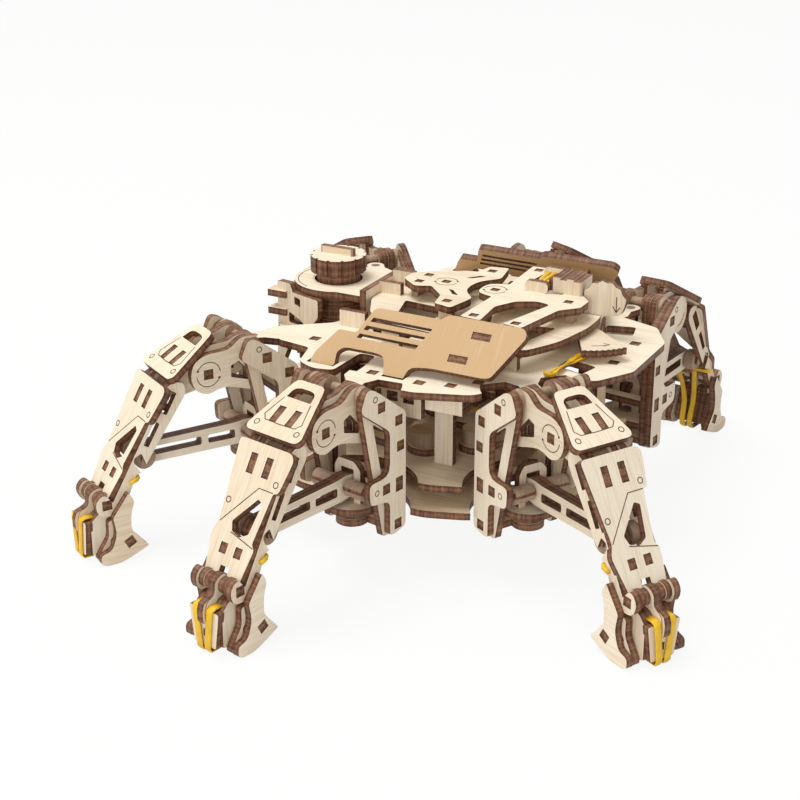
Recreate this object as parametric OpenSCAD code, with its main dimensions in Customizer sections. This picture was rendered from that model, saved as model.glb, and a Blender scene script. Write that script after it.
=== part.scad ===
// Six-legged walking robot, a kit of laser-cut plywood boards.
// +Z is up and the feet stand on z = 0. The cabin with the winding knob looks along -X.

/* [Boards] */
// Thickness of every plywood board
ply = 3; // [2.8:0.1:3.2]
// Side of the square tenon holes
tenon = 4.2; // [3.6:0.1:4.6]
// How far a tenon's end lies below the board it comes through
recess = 0.4; // [0.2:0.1:0.6]
// Space between a pin and its bore, on the radius
running = 0.06; // [0.03:0.01:0.1]

/* [Layout] */
// Distance of the four corner hips from the middle, along the body
hip_x = 62.7; // [60:0.1:66]
// Distance of the four corner hips from the middle, across the body
hip_y = 52.5; // [50:0.1:56]
// Distance of the two middle hips from the middle, across the body
middle_y = 81.6; // [80:0.1:84]
// Direction in which each leg stands, in degrees, from left front round to right front
leg_yaw = [240, 258, 331, 83, 64, 140]; // [0:1:360]

/* [Leg] */
// Distance of a hip's upright axis from the middle of its spine
yaw_u = 6.4; // [5:0.1:8]
// Half the width of a hip frame
hip_half = 18.3; // [17:0.1:19]
// Knee lift axis, outward and up
lift = [13.1, 80.8]; // [10:0.1:90]
// Knee axis, outward and up
knee = [46.2, 67.2]; // [40:0.1:90]
// Lower pivot of the push rod on the hip
rod_in = [12.4, 40.2]; // [10:0.1:50]
// Outer pivot of the push rod in the shin
rod_out = [60.5, 40.2]; // [36:0.1:66]
// Ankle axis
ankle = [79.2, 25]; // [20:0.1:84]
// Slope of the kneecap, degrees below level
kneecap_slope = 30.8; // [28:0.1:34]
// Slope of the shin's armour, degrees below level
shin_slope = 59.8; // [56:0.1:64]

/* [Decks] */
// Underside of the base ring plate
base_z = 26; // [25.6:0.1:26]
// Underside of the cam plate
cam_z = 36; // [35:0.5:37]
// Underside of the middle deck
deck_z = 77; // [76.5:0.1:77.2]
// Underside of the upper deck
upper_z = 87; // [86:0.5:88]
// Top of the roof plates
roof_z = 97.5; // [97:0.1:98]

/* [Cabin] */
// Place of the winding knob's axis along the body
knob_x = -52; // [-54:0.5:-50]
// Diameter of the winding knob
knob_d = 24; // [22:0.5:25]
// Top of the knob's disc
knob_z = 102; // [101:0.5:103]

/* [Hidden] */
SIDES = ["left_front", "left_middle", "left_rear", "right_rear", "right_middle", "right_front"];

// Centre of the whole object's box, taken to the origin
shift = [-3.15, 2.56, 0];

hips = [
    [-hip_x, -hip_y], [0, -middle_y], [hip_x, -hip_y],
    [hip_x, hip_y], [0, middle_y], [-hip_x, hip_y]];

// Middle of each hip's swing, in degrees
swing_mid = [223.5, 274.5, 314.5, 66.5, 80.5, 123.5];

birch = "#ecd9b4";
charred = "#5a3b2a";
tan = "#dcc59b";
yellow = "#f0c000";
near = 0.49;

// Rounds each corner of an outline. A third number on a point is its own radius.
function rounded(points, r, steps = 3) = [
    for (i = [0 : len(points) - 1])
        let (
            p = [points[i].x, points[i].y],
            q = points[(i + len(points) - 1) % len(points)],
            n = points[(i + 1) % len(points)],
            a = [q.x - p.x, q.y - p.y],
            b = [n.x - p.x, n.y - p.y],
            own = len(points[i]) > 2 ? points[i][2] : r,
            ta = min(own, norm(a) * near),
            tb = min(own, norm(b) * near))
        for (k = [0 : steps])
            let (s = k / steps)
                p + pow(1 - s, 2) * ta * a / norm(a) + s * s * tb * b / norm(b)];

function mirrored(points) = concat(points, [
    for (i = [len(points) - 1 : -1 : 0])
        [points[i].x, -points[i].y, len(points[i]) > 2 ? points[i][2] : 0.8]]);

// Puts a leg's own frame, u outward, v across and z up, on hip i
module at_hip(i) {
    translate([hips[i].x + shift.x, hips[i].y + shift.y, 0])
        rotate([0, 0, leg_yaw[i]])
            translate([-yaw_u, 0, 0])
                children();
}

// A flat drawing in (u, z) as a board at v
module upright(v, t = ply) {
    translate([0, v + t / 2, 0])
        rotate([90, 0, 0])
            linear_extrude(t)
                children();
}

// A flat drawing in (v, z) as a board at u
module crossing(u, t = ply) {
    translate([u - t / 2, 0, 0])
        rotate([90, 0, 90])
            linear_extrude(t)
                children();
}

// A flat drawing in (x, y) as a board lying at height z
module lying(z, t = ply) {
    translate([0, 0, z])
        linear_extrude(t)
            children();
}

// A board on a slope: x runs down the slope from the point at, y is v, the outer face is at zero
module sloped(at, slope, t = ply) {
    translate([at.x, 0, at.y])
        rotate([0, slope, 0])
            translate([0, 0, -t])
                linear_extrude(t)
                    children();
}

module outline(points, r = 0.8) {
    polygon(rounded(points, r));
}

// A pin or disc across the leg at a point in (u, z)
module across(at, r, v0, v1) {
    translate([at.x, v1, at.y])
        rotate([90, 0, 0])
            cylinder(r = r, h = v1 - v0, $fn = 48);
}

/* ---- hip frame ---- */

hip_holes = [[0, 24.6, tenon], [-0.8, 41.4, 6], [-1.5, 57.4, tenon], [-0.5, 68.3, tenon],
    [9.6, 76.6, tenon], [6.9, 41.7, tenon]];

hip_outer = [
    [-4.6, 22.4, 2], [1.6, 20.8, 1], [4.8, 21.2, 1], [4.8, 35.8, 3], [16.4, 37.8, 2.4],
    [16.8, 46.6, 2.4], [4.8, 46.6, 5], [4.7, 65.2, 2.5], [21.4, 77.8, 2], [18, 86, 3],
    [13.8, 84.9, 2], [-4.6, 70.8, 1.8]];

hip_inner = [
    [-4.4, 22.2, 2], [1, 19.6, 0.8], [5.6, 19.9, 1], [7, 26.4, 1], [17.4, 75.4, 1], [17.2, 82.4, 3],
    [12.6, 83.8, 3], [-4.4, 70.4, 1]];

hip_inner_window = [[0.6, 27, 1], [2.2, 27, 1], [11.4, 69.6, 1.5], [0.6, 61.4, 1.5]];

outer_v = hip_half - ply / 2;
inner_v = outer_v - ply;
inside_v = hip_half - 2 * ply;
pin_r = 2.5;
top_pin_r = 2;
axle_r = 2;

module hip_side(side) {
    difference() {
        upright(side * outer_v) outline(hip_outer);
        for (h = hip_holes)
            translate([h.x - tenon / 2, min(side * (hip_half - recess), side * (hip_half + 1)), h.y - h.z / 2])
                cube([tenon, 1 + recess, h.z]);
    }
    upright(side * inner_v)
        difference() {
            outline(hip_inner);
            outline(hip_inner_window);
        }
}

// A lying board of the hip with a bore on the upright axis
module hip_bearing(z, tip, bore, back = -4) {
    difference() {
        lying(z)
            union() {
                polygon([[back, -inside_v - 1], [4.4, -inside_v - 1], [4.4, inside_v + 1],
                    [back, inside_v + 1]]);
                translate([yaw_u, 0]) circle(r = tip, $fn = 64);
            }
        translate([yaw_u, 0, z - 1]) cylinder(r = bore + running, h = ply + 2, $fn = 64);
    }
}

// The staple that stands over the push rod
module rod_staple() {
    crossing(yaw_u + 1)
        outline([[-6.6, 32], [-6.6, 46, 1], [-4.6, 49.6, 1], [3.4, 49.6, 1], [6.6, 46.6, 1], [6.6, 41],
            [8.8, 40], [8.8, 37], [6.6, 36], [6.6, 32], [3.2, 32], [3.2, 46.2], [-3.2, 46.2],
            [-3.2, 32]], 0.3);
}

lower_bearing_z = base_z - ply - 0.3;
upper_bearing_z = base_z + ply + 0.3;
top_bearing_z = 66.8;
lobe_r = 3.9;

module hip_frame(i) {
    at_hip(i) color(birch) {
        hip_side(-1);
        hip_side(1);
        hip_bearing(lower_bearing_z, 6.5, pin_r);
        hip_bearing(upper_bearing_z, 11.2, pin_r);
        hip_bearing(top_bearing_z, lobe_r, top_pin_r);
        rod_staple();
        lying(39.9) polygon([[-4, -inside_v - 1], [1, -inside_v - 1], [1, inside_v + 1],
            [-4, inside_v + 1]]);
        lying(55.9) polygon([[-4, -inside_v - 1], [1, -inside_v - 1], [1, inside_v + 1],
            [-4, inside_v + 1]]);
        across(lift, axle_r, -inside_v - 1, inside_v + 1);
        across(rod_in, axle_r, -inside_v - 1, inside_v + 1);
        for (s = [-1, 1]) {
            across(lift, 3.6, s > 0 ? inside_v - 1.2 : -inside_v - 0.5,
                s > 0 ? inside_v + 0.5 : -inside_v + 1.2);
            across(rod_in, 3.4, s > 0 ? 4 : -inside_v - 0.5, s > 0 ? inside_v + 0.5 : -4);
        }
    }
}

/* ---- thigh ---- */

thigh_outer = [
    [9, 62.6, 1.5], [12, 60.6, 1], [24, 64.6, 4], [28.6, 64.2, 5], [32.6, 62.6, 5], [38, 65, 5],
    [40.4, 71, 5],
    [38.6, 77.6, 3], [33, 80, 2], [22.4, 80.2, 3], [17.6, 84.6, 3], [9.4, 84.4, 3.5], [8.6, 76, 2]];

house = [[13.8, 65.4, 0.4], [22.2, 68.2, 0.4], [22.2, 73.2, 0.4], [18.6, 74.6, 0.4], [13.8, 69.2, 0.4]];

thigh_inner = [
    [10, 64, 1], [22, 63.4, 1], [30, 66, 2], [40, 63.8, 3], [46, 63.4, 0.6], [46.4, 71, 0.6], [40, 76, 2],
    [29.4, 82.4, 1], [22, 82.6, 2], [17.6, 84.8, 3], [9.4, 84.6, 3.5], [8.8, 76, 2]];

thigh_v = 9;
thigh_inner_v = 5.7;
thigh_out = thigh_v + ply / 2;
knee_eye_r = 3.9;
lift_disc_r = 4;
kneecap_at = [28, 87.4];
kneecap_outline = mirrored([[0, -7, 2.4], [24.4, -13.6, 1.6], [26.6, -12.2, 1.6]]);
kneecap_window = [[8.6, -6, 0.4], [8.6, 6, 0.4], [4.6, 5.4, 1.6], [3.4, 3, 1.6], [3.4, -3, 1.6],
    [4.6, -5.4, 1.6]];

module slot_pair(s, gap, long, wide) {
    for (v = [-gap, gap])
        translate([s - long / 2, v - wide / 2]) square([long, wide]);
}

module kneecap() {
    difference() {
        sloped(kneecap_at, kneecap_slope)
            difference() {
                outline(kneecap_outline, 1.6);
                outline(kneecap_window);
            }
        translate([kneecap_at.x, 0, kneecap_at.y])
            rotate([0, kneecap_slope, 0])
                translate([0, 0, -recess])
                    linear_extrude(2)
                        slot_pair(16.8, 3.95, 7.6, 3.3);
    }
    // two keel boards that carry the kneecap on the thigh
    for (v = [-3.95, 3.95])
        upright(v)
            outline([[26, 72], [44, 69.8], [46.6, 73.6], [31, 83], [26, 84.2]], 0.6);
}

module thigh(i) {
    at_hip(i) color(birch) {
        for (s = [-1, 1])
            difference() {
                union() {
                    upright(s * thigh_v)
                        difference() {
                            outline(thigh_outer);
                            outline(house);
                        }
                    upright(s * thigh_inner_v)
                        difference() {
                            union() {
                                outline(thigh_inner);
                                translate(knee) circle(r = knee_eye_r, $fn = 48);
                            }
                            outline(house);
                        }
                    across(lift, lift_disc_r, s > 0 ? 3.2 : -4.7, s > 0 ? 4.7 : -3.2);
                }
                across(lift, axle_r + running, -20, 20);
                across(knee, axle_r + running, -20, 20);
                translate([32.2 - tenon / 2, s > 0 ? thigh_out - recess : -thigh_out - 1, 71.4 - tenon / 2])
                    cube([tenon, 1 + recess, tenon]);
            }
        // cross board between the two pairs of plates
        crossing(26) outline([[-8, 68], [8, 68], [8, 79], [-8, 79]], 0.3);
        kneecap();
    }
}

/* ---- push rod ---- */

rod_bar = [
    [4, 39, 1.5], [7.6, 35.4, 2], [14, 34.4, 2], [61, 35.4, 3], [65, 37, 3], [64.8, 41, 3], [61.4, 44.4, 3],
    [17, 44.2, 2], [12, 45, 3], [6, 43.6, 3]];
rod_slot_a = [[17.6, 37.4, 1], [30, 37.8, 1], [30, 41.4, 1], [17.6, 41.2, 1]];
rod_slot_b = [[33, 37.9, 1], [54.4, 38.3, 1], [54.4, 42, 1], [33, 41.5, 1]];
rod_play = 0.95;

module push_rod(i) {
    at_hip(i) color(birch)
        difference() {
            upright(0, 2 * ply - 1)
                difference() {
                    outline(rod_bar);
                    outline(rod_slot_a);
                    outline(rod_slot_b);
                }
            across(rod_in, axle_r + running, -5, 5);
            across(rod_out, axle_r + rod_play, -5, 5);
        }
}

/* ---- shin ---- */

shin_v = 9;
shin_out = shin_v + ply / 2;
shin_at = [52.7, 70.8];

shin_side = [
    [42.3, 66, 2.5], [43.4, 70.6, 2.5], [48, 71.2, 2], [51.1, 69.6, 0.4], [76.7, 25.6, 0.4],
    [80.4, 30.4, 2.5],
    [84.6, 26.6, 3.5], [82.8, 20.4, 3.5], [76.6, 20, 2.5], [69, 28.2, 1.5], [66.2, 34.9, 0.6],
    [63.8, 35.6, 0.6],
    [66.6, 40.2, 1.2], [66.6, 42.6, 1.2], [63.2, 44, 0.8], [61.4, 38.8, 0.4]];
shin_cut_a = [[46.6, 66.4, 0.5], [49.7, 68.6, 0.5], [54.6, 60.2, 0.5], [51.5, 57.9, 0.5]];
shin_cut_b = [[54.6, 55, 0.5], [56.8, 56.4, 0.5], [62.2, 47.2, 0.5], [60, 45.9, 0.5]];

armour_outline = [
    [0, -13.3, 2], [0, 12.8, 2.2], [2.6, 14.6, 1.4], [15.4, 12.6, 1.2], [16, 10.4, 0.8], [35.8, 8.6, 0.8],
    [37.6, 10.4, 1], [51.6, 8.8, 1.2], [53, 6.6, 1.2], [52.8, 2.2, 0.3], [46.8, 2.2, 0.3],
    [46.8, -2.2, 0.3],
    [52.8, -2.2, 0.5], [52.8, -8.4, 1.8], [36.6, -11.8, 1.4], [31.8, -10, 1]];
armour_window = [[19.6, 4.7, 0.6], [20.8, 7.1, 0.6], [33, 5.5, 0.6], [35.2, 1.8, 0.6], [33.9, -2.4, 0.6],
    [30.3, -3.9, 0.6]];

module armour() {
    difference() {
        sloped(shin_at, shin_slope)
            difference() {
                outline(armour_outline);
                outline(armour_window);
            }
        translate([shin_at.x, 0, shin_at.y])
            rotate([0, shin_slope, 0])
                translate([0, 0, -recess])
                    linear_extrude(2) {
                        slot_pair(8, 3.9, 7.8, 3.3);
                        slot_pair(40.7, 3.7, 4.1, 3.5);
                    }
    }
}

module shin(i) {
    at_hip(i) color(birch) {
        for (s = [-1, 1])
            difference() {
                upright(s * shin_v)
                    difference() {
                        outline(shin_side);
                        outline(shin_cut_a);
                        outline(shin_cut_b);
                    }
                translate([ankle.x - tenon / 2, s > 0 ? shin_out - recess : -shin_out - 1, ankle.y - tenon / 2])
                    cube([tenon, 1 + recess, tenon]);
            }
        across(knee, axle_r, -shin_v, shin_v);
        across(rod_out, axle_r, -shin_v, shin_v);
        across(ankle, axle_r, -shin_v, shin_v);
        for (s = [-1, 1])
            across(rod_out, 4.6, s > 0 ? 3.4 : -7.6, s > 0 ? 7.6 : -3.4);
        armour();
        // cross boards behind the armour, with their tenons in its slots
        for (s = [8, 40.7])
            translate([shin_at.x, 0, shin_at.y])
                rotate([0, shin_slope, 0])
                    translate([s - ply / 2, -8, -ply - 5])
                        cube([ply, 16, 6]);
    }
}

/* ---- foot ---- */

foot_v = 12.3;
foot_hook = [
    [71, 30, 1.2], [78.4, 20.4, 1], [77, 13, 3], [79.6, 6.4, 2], [84.4, 5.2, 1.4], [84.6, 1.2, 1.4],
    [82, 0, 1],
    [77, 0, 1], [73, 0.9, 4], [63.6, 4.8, 0.8], [70.9, 13.4, 2], [70.6, 20.5, 2], [68.8, 25.8, 1.5]];
foot_layer = [
    [73.6, 18.8, 1], [79.4, 18.2, 1.5], [79.4, 11, 2], [82.6, 6.4, 1.5], [85, 2.6, 1.2], [83.4, 0.6, 1.2],
    [77, 0.2, 2], [71, 1.6, 2], [69.4, 6, 2], [73, 12.4, 2]];
foot_core = [
    [76.4, 21, 1], [81.8, 20.4, 1], [85.4, 17, 1], [85.4, 2.8, 0.5], [80, 1.9, 1], [73.8, 2.8, 1],
    [72, 6, 2],
    [74.8, 13, 2]];
foot_stem = [
    [76.4, 18, 1], [74.8, 22.6, 2], [75.4, 27.6, 2], [79.4, 29.4, 2], [83.4, 27.4, 2], [83.6, 22.6, 1.5],
    [87.6, 20.6, 1], [88.6, 17.6, 0.8], [85.6, 16.8, 0.8], [84, 14, 1]];
foot_bar = [77, 9];

module foot(i) {
    at_hip(i) color(birch) {
        for (s = [-1, 1]) {
            difference() {
                upright(s * foot_v) outline(foot_hook);
                translate([71.6, s > 0 ? foot_v + ply / 2 - recess : -foot_v - ply / 2 - 1, 8.4])
                    rotate([0, 28, 0])
                        translate([-tenon / 2, 0, -tenon / 2])
                            cube([tenon, 1 + recess, tenon]);
            }
            upright(s * (foot_v - ply)) outline(foot_layer);
        }
        across(foot_bar, axle_r, -foot_v, foot_v);
        upright(0, 14) outline(foot_core);
        difference() {
            upright(0, 3.6) outline(foot_stem);
            across(ankle, axle_r + running, -8, 8);
        }
        // front pad that the bands cross
        crossing(86.3) outline([[-7.6, 17.6], [7.6, 17.6], [5.4, 2.7], [-5.4, 2.7]], 0.8);
    }
}

foot_strap = [
    [88.9, 16.4, 0.4], [89, 1.4, 1.6], [86.5, 0.2, 1.4], [74, 0.4, 2], [70.4, 4.8, 2.5], [71.9, 13.6, 0.4],
    [72.8, 13.4, 0.4], [71.5, 5.3, 1.6], [74.4, 1.5, 1.4], [86, 1.4, 0.8], [87.9, 2.2, 0.6],
    [87.9, 16.4, 0.4]];

// Two rubber bands over the front pad, under the sole and up the heel
module foot_bands(i) {
    at_hip(i) color(yellow)
        for (v = [-2.1, 2.1])
            upright(v, 3.2) outline(foot_strap, 1);
}

/* ---- chassis ---- */

notch_r = 23;
neck = 5;
main_r = 3.3;

module ring_outline(cut, grow = 0) {
    difference() {
        outline(mirrored([[-76 - grow, -26, 4], [-70 - grow, -46, 4], [-44, -67 - grow, 4],
            [-27, -73 - grow, 4],
            [27, -73 - grow, 4], [44, -67 - grow, 4], [70 + grow, -46, 4], [76 + grow, -26, 4]]));
        for (h = hips)
            translate(h) circle(r = cut, $fn = 64);
    }
}

module necks(reach, half) {
    for (i = [0 : 5])
        translate(hips[i])
            rotate([0, 0, swing_mid[i]]) {
                translate([-reach, -half]) square([reach, 2 * half]);
                circle(r = half + 1.5, $fn = 48);
            }
}

// Openings in the two lower plates
module plate_windows() {
    for (s = [-1, 1]) {
        outline([[-30, 8 * s], [-6, 8 * s], [-6, 34 * s], [-18, 36 * s], [-30, 26 * s]], 2);
        outline([[6, 8 * s], [30, 8 * s], [34, 17 * s], [8, 30 * s]], 2);
        outline([[42, 8 * s], [52, 8 * s], [52, 34 * s], [42, 36 * s]], 2);
    }
}

module base_plate() {
    color(birch) translate(shift)
        difference() {
            lying(base_z)
                difference() {
                    union() {
                        ring_outline(notch_r);
                        necks(28, neck);
                    }
                    plate_windows();
                }
            for (h = hips)
                translate([h.x, h.y, base_z - 1]) cylinder(r = pin_r, h = ply + 2, $fn = 64);
        }
}

module cam_plate() {
    color(birch) translate(shift)
        difference() {
            lying(cam_z)
                difference() {
                    ring_outline(notch_r + 3, -3);
                    plate_windows();
                }
            translate([0, 0, cam_z - 1]) cylinder(r = main_r + running, h = ply + 2, $fn = 64);
        }
}

floor_z = 69;
columns = [[-34, 36], [24, 48]];
column_wide = 8;
post_front = [-38, 30];
post_rear = [60, 25];

module board(x, y, along, across_, z0, z1) {
    translate([x - along / 2, y - across_ / 2, z0]) cube([along, across_, z1 - z0]);
}

// Upright boards that hold the decks apart, and the two posts that the motor bands hang on
module deck_columns() {
    color(birch) translate(shift) {
        for (c = columns, s = [-1, 1]) {
            board(c.x, s * c.y, column_wide, ply, base_z + ply, cam_z);
            board(c.x, s * c.y, column_wide, ply, cam_z + ply, c.x < 0 ? floor_z : deck_z);
        }
        for (s = [-1, 1]) {
            board(columns[0].x, s * columns[0].y, column_wide, ply, floor_z + ply, deck_z);
            board(post_rear.x, s * post_rear.y, ply, 10, base_z + ply, cam_z);
            board(post_rear.x, s * post_rear.y, ply, 10, cam_z + ply, deck_z);
            board(post_front.x, s * post_front.y, ply, 10, base_z + ply, cam_z);
            board(post_front.x, s * post_front.y, ply, 10, cam_z + ply, floor_z);
            board(post_front.x, s * post_front.y, ply, 10, floor_z + ply, deck_z);
        }
        for (x = [-38, 57.5])
            board(x, 0, ply, 36, cam_z + ply, 53);
    }
}

module hip_pins() {
    color(charred) translate(shift)
        for (h = hips)
            translate([h.x, h.y, 0]) {
                translate([0, 0, lower_bearing_z - 1])
                    cylinder(r = pin_r, h = upper_bearing_z + ply + 2 - lower_bearing_z, $fn = 64);
                translate([0, 0, top_bearing_z - 1])
                    cylinder(r = top_pin_r, h = deck_z - top_bearing_z + 1 + ply, $fn = 64);
            }
}

/* ---- main decks ---- */

deck_half = [
    [-37, -14, 2], [-41, -24, 2], [-61.3, -40.2, 1], [-50.3, -51.8, 1], [-35, -54, 2], [-30.6, -69, 3],
    [-22, -73, 3], [-14, -71, 2], [-13.4, -50, 2], [-6.4, -50, 2], [-5, -62, 2], [-5, -74, 2],
    [2, -77.5, 2],
    [24, -77, 2], [46, -69, 3], [62, -40, 3], [81.5, -33.7, 2], [90.6, -18, 2]];
// Radius that a hip sweeps clear in the deck, and how far inward of its axis that starts
hip_sweeps = [[19.8, -9.5], [22.4, 1.2], [24.6, 5]];
foot_slots = [[-28, 12.2], [5.6, 9.6]];

module hip_notch(i) {
    translate(hips[i])
        rotate([0, 0, swing_mid[i]])
            for (n = hip_sweeps)
                intersection() {
                    circle(r = n[0], $fn = 64);
                    translate([n[1], -30]) square([60, 60]);
                }
}

// Narrow tongue that reaches over a hip to its upright axis
module hip_tongue(i) {
    translate(hips[i])
        rotate([0, 0, swing_mid[i]]) {
            polygon([
                [-14, -7], [-9, -7], [-4, -lobe_r], [0, -lobe_r], [0, lobe_r], [-4, lobe_r], [-9, 7],
                [-14, 7]]);
            circle(r = lobe_r, $fn = 48);
        }
}

module middle_deck() {
    color(birch) translate(shift)
        difference() {
            lying(deck_z)
                difference() {
                    union() {
                        difference() {
                            outline(mirrored(deck_half));
                            for (i = [0 : 5])
                                hip_notch(i);
                        }
                        for (i = [0 : 5])
                            hip_tongue(i);
                    }
                    for (s = [-1, 1]) {
                        outline([[-24, 8 * s], [-4, 8 * s], [-4, 31 * s], [-16, 31 * s], [-24, 22 * s]], 3);
                        outline([[5, 8 * s], [22, 8 * s], [22, 30 * s], [5, 31 * s]], 3);
                        outline([[30, 8 * s], [46, 8 * s], [46, 31 * s], [32, 31 * s]], 3);
                        outline([[63, 17 * s], [76, 20 * s], [73.6, 30 * s], [62, 27 * s]], 1.5);
                        for (f = foot_slots)
                            translate([f.x, s > 0 ? 62.2 : -67.8]) square([f.y, 5.6]);
                    }
                }
            for (h = hips)
                translate([h.x, h.y, deck_z - 1]) cylinder(r = top_pin_r, h = ply + 2, $fn = 64);
            translate([0, 0, deck_z - 1]) cylinder(r = main_r + running, h = ply + 2, $fn = 64);
            for (s = [-1, 1], p = [[1, 66], [22, 67], [34, 64], [42, 56], [-38, 44], [66, 8], [80, 12]])
                translate([p.x - tenon / 2, s * p.y - tenon / 2, deck_z + ply - recess])
                    cube([tenon, tenon, 2]);
        }
}

upper_half = [[-28, -14, 2], [-20, -30, 3], [-8, -38, 3], [36, -42, 2], [54, -41, 3], [62, -26, 6],
    [66, -6, 4]];
lever_slot = [55, 9.8];

module upper_deck() {
    color(birch) translate(shift)
        difference() {
            lying(upper_z)
                difference() {
                    outline(mirrored(upper_half));
                    for (s = [-1, 1]) {
                        outline([[-14, 10 * s], [8, 12 * s], [6, 32 * s], [-8, 31 * s]], 1.5);
                        outline([[18, 12 * s], [26, 10 * s], [34, 33 * s], [14, 34 * s]], 1.5);
                    }
                    outline([[42, -14], [55, -12], [50, -34], [42, -35]], 1.5);
                    outline([[40, 14], [49, 14], [48, 34], [40, 35]], 1.5);
                    translate(lever_slot) square([20, 4.4]);
                }
            translate([0, 0, upper_z - 1]) cylinder(r = main_r + running, h = ply + 2, $fn = 64);
        }
}

stop_pivot = [61, 84];
stop_y = 12;
walk_pivot = [61, 5];
walk_z = 83;
peg_r = 1.5;
roof_under = roof_z - ply;

// Short boards on edge between the decks and the roof, and the pegs that the levers turn on
module deck_struts() {
    color(birch) translate(shift) {
        for (s = [-1, 1]) {
            for (x = [-6, 28, 46])
                board(x, s * 37, 8, ply, deck_z + ply, upper_z);
            for (p = [[11, 22], [28, 36], [46, 37]])
                board(p.x, s * p.y, 6, ply, upper_z + ply, roof_under);
            // window board and block that hang under the edge of the middle deck
            difference() {
                board(7.5, s * 60, 25, ply, 62, deck_z);
                for (x = [0, 7.2, 14.4])
                    board(x, s * 60, 4.8, 2 * ply, 67.6, 71.8);
            }
            board(30, s * 58, 16, 8, 67, deck_z);
        }
        board(-13, 0, ply, 8, upper_z + ply, roof_under);
        board(57.5, -3, ply, 4, upper_z + ply, roof_under);
        // bracket and peg of the standing lever
        board(61, 15.3, 8, ply, deck_z + ply, upper_z);
        translate([stop_pivot.x, 16, stop_pivot.y]) rotate([90, 0, 0])
            cylinder(r = peg_r, h = 6.2, $fn = 48);
        // peg of the lying lever
        translate([walk_pivot.x, walk_pivot.y, deck_z + ply])
            cylinder(r = peg_r, h = upper_z - deck_z - ply, $fn = 48);
    }
}

/* ---- side panels ---- */

panel_lean = 47;
panel_top = [47, 101];
panel_brackets = [[40.4, 5.9], [34, 16.7]];
bracket = 9;
panel_tail = [[49.4, 21.8, 1.2], [46.4, 22.5, 1]];
// On the right the rear hip stands closer, so that panel ends shorter there
panel_short_tail = [[53, 14.2, 2], [43, 16, 2], [40.4, 22.4, 1]];
function panel_outline(side) = concat([
    [-27, 30, 1.6], [-26.4, 24.6, 1.6], [-19.6, 13.4, 0.8], [-11.6, 13.4, 1.2], [-7.2, 1.6, 2.4],
    [21.6, 1.8, 0.4],
    [24.6, -0.7, 0.8], [56.6, -0.5, 1.8], [58.6, 3, 1.8]],
    side < 0 ? panel_tail : panel_short_tail, [[24, 22.4, 3],
    [15.6, 23.6, 3], [14.6, 28.6, 0.6], [6, 28.6, 0.6], [3.6, 21.4, 2.4], [0.4, 20.4, 2],
    [-14.6, 20.4, 1.6],
    [-17, 22.8, 1.4], [-16, 29, 1.4]]);

module panel_flat(side) {
    difference() {
        outline(panel_outline(side));
        for (k = [0 : 2])
            polygon([[-6.6 - 1.7 * k, 6 + 3.8 * k], [19.6 - 1.7 * k, 6.4 + 3.8 * k],
                [18.8 - 1.7 * k, 8.3 + 3.8 * k],
                [-7.4 - 1.7 * k, 7.9 + 3.8 * k]]);
        for (c = panel_brackets)
            translate([c.x - 4, c.y - 1.6]) square([8, 3.2]);
    }
}

module side_panel(side) {
    translate([shift.x, shift.y + side * panel_top.x, panel_top.y])
        mirror([0, side > 0 ? 0 : 1, 0])
            rotate([-panel_lean, 0, 0])
                translate([0, 0, -ply])
                    linear_extrude(ply) panel_flat(side);
    // bracket boards square to the panel, their ends set back in it
    for (c = panel_brackets)
        translate([shift.x, shift.y + side * panel_top.x, panel_top.y])
            mirror([0, side > 0 ? 0 : 1, 0])
                rotate([-panel_lean, 0, 0])
                    translate([c.x - 4, c.y - 1.6, -ply - bracket]) cube([8, 3.2, ply + bracket - recess]);
}

module side_panel_left() {
    color(tan) side_panel(-1);
}

module side_panel_right() {
    color(tan) side_panel(1);
}

/* ---- roof ---- */

roof_front_half = [[-18, -4, 2], [-9.5, -10.8, 1.5], [-3, -8, 1], [5.5, -16.6, 1.5], [7.6, -26.5, 1.5],
    [15.8, -28.4, 1.5], [18.6, -14, 2], [11.4, -6, 5]];

module roof_front() {
    color(birch) translate(shift)
        difference() {
            lying(roof_z - ply)
                difference() {
                    outline(mirrored(roof_front_half));
                    for (s = [-1, 1])
                        polygon([[5, 8 * s], [7.4, 8.6 * s], [12, 13.6 * s], [9.4, 13.4 * s]]);
                }
            for (p = [[0, 0], [-10.4, -4.6], [-10.4, 4.6], [11, -21.6], [11, 21.6]])
                translate([p.x - 1.8, p.y - 1.8, roof_z - recess]) cube([3.6, 3.6, 2]);
        }
}

roof_rear_half = [[16.4, -3.4, 3], [18.6, -6.8, 3], [24.8, -8.6, 1], [23.6, -35.6, 1.2], [32.8, -36.4, 1.2],
    [31, -19, 2], [36, -9.4, 2], [43.6, -5.4, 2], [50, -7, 2], [42.2, -35.8, 1], [50.6, -37, 1.5],
    [55.4, -11.6, 1.5],
    [62, -4.4, 1]];

module roof_rear() {
    color(birch) translate(shift)
        difference() {
            lying(roof_z - ply) outline(mirrored(roof_rear_half));
            for (p = [[22.4, 0], [28, -32], [28, 32], [46.6, -33], [46.6, 33], [55, 0]])
                translate([p.x - 1.8, p.y - 1.8, roof_z - recess]) cube([3.6, 3.6, 2]);
        }
}

block_tabs = [6.5, 26.5];
block_y = 8;

// Plies on edge behind two round-nosed tabs
module band_block() {
    color(birch) translate(shift) {
        for (k = [0 : 3])
            translate([44.6 + k * ply, block_y, roof_z]) cube([ply, 13, 6.6 - (k % 2) * 0.8]);
        translate([42, block_y + 2, roof_z]) cube([2.6, 9, 4.6]);
        for (y = block_tabs)
            translate([0, y, 0]) upright(0) outline([[33.4, 97.5], [43.6, 97.5], [43.6, 102],
                [33.4, 102]], 1.8);
    }
}

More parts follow.
